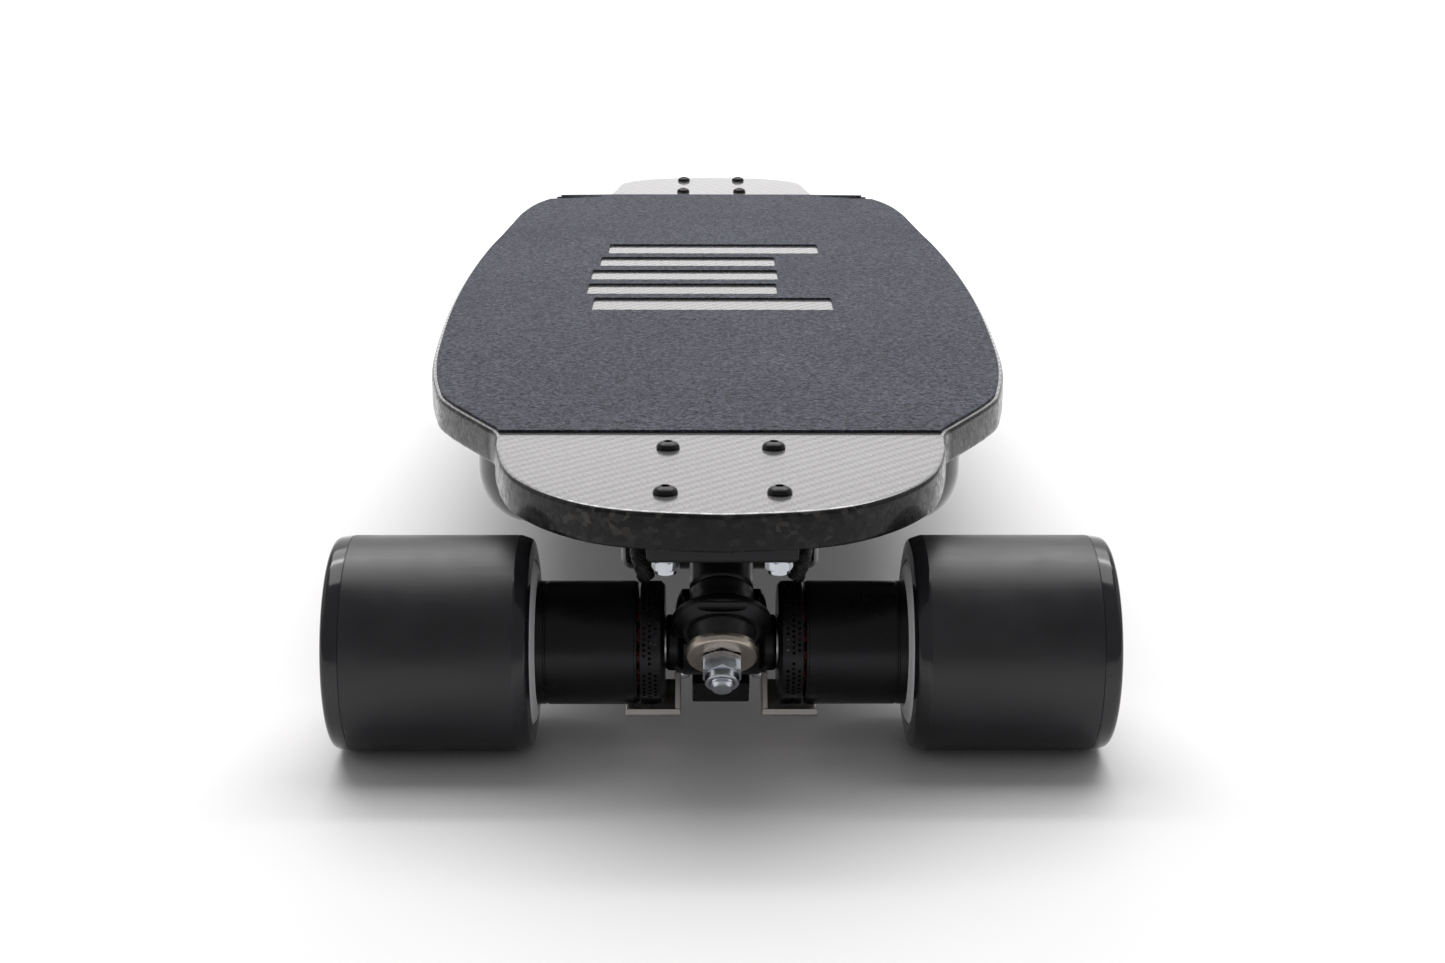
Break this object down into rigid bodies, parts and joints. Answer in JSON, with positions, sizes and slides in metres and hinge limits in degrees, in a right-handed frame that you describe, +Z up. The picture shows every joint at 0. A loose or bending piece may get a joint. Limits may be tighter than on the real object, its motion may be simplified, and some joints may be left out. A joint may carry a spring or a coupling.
{
  "type": "electric skateboard",
  "caption": "Electric longboard skateboard with a carbon deck, grip tape, battery enclosure, steering trucks, and direct-drive motors on the tail truck.",
  "frame": {"origin": "on the ground under the middle of the board: centre of the bounding box's bottom", "axes": "+Z up, +Y along the board from the motor (tail) end to the nose, +X to the rider's right"},
  "size_m": [0.297, 0.914, 0.1151],
  "materials": {
    "carbon": "clear-coated carbon fibre, glossy",
    "grip": "coarse grit tape, matt",
    "enclosure_plastic": "moulded gloss black",
    "battery_wrap": "shrink wrap",
    "black_metal": "satin black anodised",
    "black_bolt": "black oxide steel",
    "zinc_steel": "bright zinc plate",
    "nickel": "satin nickel",
    "bushing_urethane": "cast urethane",
    "cable_sleeve": "braided sleeve",
    "button_steel": "brushed",
    "axle_steel": "turned steel",
    "motor_black": "satin black anodised",
    "copper_winding": "enamelled wire",
    "stainless": "polished edges, satin faces",
    "wheel_urethane": "cast urethane, satin tread, glossy shoulders",
    "core_plastic": "moulded light grey",
    "bearing_steel": "ground steel"
  },
  "bodies": {
    "deck_body": {"deck": "carbon", "grip_tape": "grip", "enclosure": "enclosure_plastic", "cable_box": "enclosure_plastic", "battery_pack": "battery_wrap", "motor_controller": "black_metal", "charge_socket": "enclosure_plastic", "tail_bolt_inner_left": "black_bolt", "tail_bolt_inner_right": "black_bolt", "tail_bolt_outer_left": "black_bolt", "tail_bolt_outer_right": "black_bolt", "tail_baseplate": "black_metal", "tail_kingpin": "zinc_steel", "tail_kingpin_nut": "zinc_steel", "tail_cup_washer": "nickel", "tail_roadside_bushing": "bushing_urethane", "tail_boardside_bushing": "bushing_urethane", "tail_pivot_cup": "bushing_urethane", "nose_bolt_inner_left": "black_bolt", "nose_bolt_inner_right": "black_bolt", "nose_bolt_outer_left": "black_bolt", "nose_bolt_outer_right": "black_bolt", "nose_baseplate": "black_metal", "nose_kingpin": "zinc_steel", "nose_kingpin_nut": "zinc_steel", "nose_cup_washer": "nickel", "nose_roadside_bushing": "bushing_urethane", "nose_boardside_bushing": "bushing_urethane", "nose_pivot_cup": "bushing_urethane", "left_motor_cable": "cable_sleeve", "right_motor_cable": "cable_sleeve"},
    "power_button_body": {"power_button": "button_steel"},
    "tail_hanger_body": {"tail_hanger": "black_metal", "tail_axle": "axle_steel", "left_motor_end_bell": "motor_black", "left_motor_stator": "copper_winding", "left_motor_guard": "stainless", "right_motor_end_bell": "motor_black", "right_motor_stator": "copper_winding", "right_motor_guard": "stainless"},
    "nose_hanger_body": {"nose_hanger": "black_metal", "nose_axle": "axle_steel"},
    "tail_left_wheel_body": {"tail_left_tyre": "wheel_urethane", "tail_left_core": "core_plastic", "tail_left_inner_bearing": "bearing_steel", "tail_left_outer_bearing": "bearing_steel", "left_motor_rotor": "motor_black"},
    "tail_right_wheel_body": {"tail_right_tyre": "wheel_urethane", "tail_right_core": "core_plastic", "tail_right_inner_bearing": "bearing_steel", "tail_right_outer_bearing": "bearing_steel", "right_motor_rotor": "motor_black"},
    "nose_left_wheel_body": {"nose_left_tyre": "wheel_urethane", "nose_left_core": "core_plastic", "nose_left_inner_bearing": "bearing_steel", "nose_left_outer_bearing": "bearing_steel"},
    "nose_right_wheel_body": {"nose_right_tyre": "wheel_urethane", "nose_right_core": "core_plastic", "nose_right_inner_bearing": "bearing_steel", "nose_right_outer_bearing": "bearing_steel"}
  },
  "joints": [
    {"name": "tail_steer", "type": "hinge", "parent": "deck_body", "child": "tail_hanger_body", "pos_m": [0, -0.39375, 0.0415], "axis": [0, -0.6428, 0.766], "range_deg": [-12, 12], "stiffness_Nm_per_rad": 45, "deforming": ["tail_roadside_bushing", "tail_boardside_bushing", "left_motor_cable", "right_motor_cable"]},
    {"name": "tail_left_wheel_spin", "type": "hinge", "parent": "tail_hanger_body", "child": "tail_left_wheel_body", "pos_m": [0, -0.39375, 0.0415], "axis": [1, 0, 0], "continuous": true},
    {"name": "tail_right_wheel_spin", "type": "hinge", "parent": "tail_hanger_body", "child": "tail_right_wheel_body", "pos_m": [0, -0.39375, 0.0415], "axis": [1, 0, 0], "continuous": true},
    {"name": "nose_steer", "type": "hinge", "parent": "deck_body", "child": "nose_hanger_body", "pos_m": [0, 0.39825, 0.0415], "axis": [0, 0.6428, 0.766], "range_deg": [-12, 12], "stiffness_Nm_per_rad": 45, "deforming": ["nose_roadside_bushing", "nose_boardside_bushing"]},
    {"name": "nose_left_wheel_spin", "type": "hinge", "parent": "nose_hanger_body", "child": "nose_left_wheel_body", "pos_m": [0, 0.39825, 0.0415], "axis": [1, 0, 0], "continuous": true},
    {"name": "nose_right_wheel_spin", "type": "hinge", "parent": "nose_hanger_body", "child": "nose_right_wheel_body", "pos_m": [0, 0.39825, 0.0415], "axis": [1, 0, 0], "continuous": true},
    {"name": "power_button_press", "type": "slide", "parent": "deck_body", "child": "power_button_body", "axis": [-1, 0, 0], "range_m": [0, 0.0012], "stiffness_N_per_m": 800}
  ]
}
